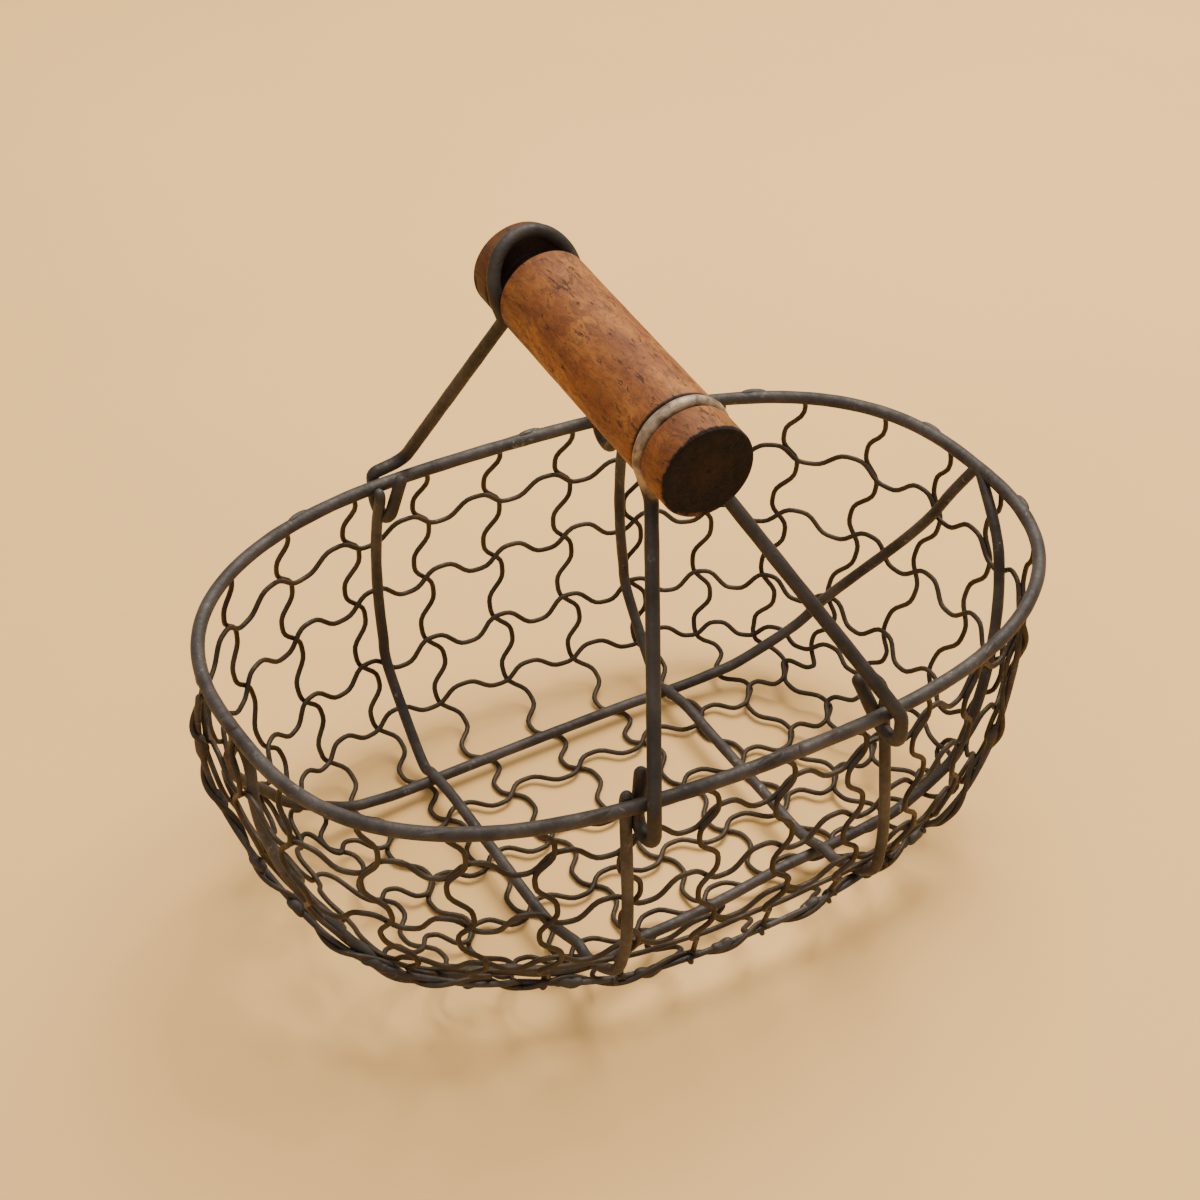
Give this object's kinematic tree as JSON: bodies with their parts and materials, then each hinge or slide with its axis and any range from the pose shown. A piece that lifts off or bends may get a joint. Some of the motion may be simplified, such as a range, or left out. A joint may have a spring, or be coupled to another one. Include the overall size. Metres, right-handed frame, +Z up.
{
  "type": "wire storage basket",
  "caption": "Oval basket of crimped wire mesh on a thick rim and bent ribs, with two hooked wire bails that hold a turned wooden carrying grip.",
  "frame": {"origin": "on the table under the middle of the rim, on the lower flat of the middle floor wire", "axes": "+X along the basket, +Y from front to back along the grip, +Z up"},
  "size_m": [0.2615, 0.1845, 0.2023],
  "materials": {
    "frame_wire": "dark oxidised iron wire with light scuffs",
    "mesh_wire": "dark brown oxidised thin wire",
    "grip_wood": "worn turned wood with dark end grain"
  },
  "bodies": {
    "basket": {"cross_rib_left": "frame_wire", "cross_rib_right": "frame_wire", "floor_cross_wire_1": "mesh_wire", "floor_cross_wire_2": "mesh_wire", "floor_cross_wire_3": "mesh_wire", "floor_cross_wire_4": "mesh_wire", "floor_cross_wire_5": "mesh_wire", "floor_cross_wire_6": "mesh_wire", "floor_cross_wire_7": "mesh_wire", "floor_cross_wire_8": "mesh_wire", "floor_cross_wire_9": "mesh_wire", "floor_long_wire_1": "mesh_wire", "floor_long_wire_2": "mesh_wire", "floor_long_wire_3": "mesh_wire", "floor_long_wire_4": "mesh_wire", "long_rib_back": "frame_wire", "long_rib_front": "frame_wire", "rim_wire": "frame_wire", "seam_wire": "frame_wire", "wall_column_01": "mesh_wire", "wall_column_02": "mesh_wire", "wall_column_03": "mesh_wire", "wall_column_04": "mesh_wire", "wall_column_05": "mesh_wire", "wall_column_06": "mesh_wire", "wall_column_07": "mesh_wire", "wall_column_08": "mesh_wire", "wall_column_09": "mesh_wire", "wall_column_10": "mesh_wire", "wall_column_11": "mesh_wire", "wall_column_12": "mesh_wire", "wall_column_13": "mesh_wire", "wall_column_14": "mesh_wire", "wall_column_15": "mesh_wire", "wall_column_16": "mesh_wire", "wall_column_17": "mesh_wire", "wall_column_18": "mesh_wire", "wall_column_19": "mesh_wire", "wall_column_20": "mesh_wire", "wall_column_21": "mesh_wire", "wall_column_22": "mesh_wire", "wall_column_23": "mesh_wire", "wall_column_24": "mesh_wire", "wall_column_25": "mesh_wire", "wall_column_26": "mesh_wire", "wall_column_27": "mesh_wire", "wall_row_1": "mesh_wire", "wall_row_2": "mesh_wire", "wall_row_3": "mesh_wire", "wall_row_4": "mesh_wire"},
    "front_bail": {"front_bail": "frame_wire"},
    "back_bail": {"back_bail": "frame_wire"},
    "grip": {"handle_grip": "grip_wood"}
  },
  "joints": [
    {"name": "front_bail_hinge", "type": "hinge", "parent": "basket", "child": "front_bail", "pos_m": [0.0027, -0.08306, 0.1055], "axis": [0.9998, -0.0181, 0], "range_deg": [-1, 1]},
    {"name": "back_bail_hinge", "type": "hinge", "parent": "basket", "child": "back_bail", "pos_m": [0, 0.08312, 0.1055], "axis": [0.9977, -0.0671, 0], "range_deg": [-1, 1]},
    {"name": "grip_spin", "type": "hinge", "parent": "front_bail", "child": "grip", "pos_m": [-0.0055, -0.0396, 0.1872], "axis": [0, 1, 0], "continuous": true}
  ],
  "couplings": [
    {"joint": "back_bail_hinge", "follows": "front_bail_hinge", "ratio": 1}
  ]
}
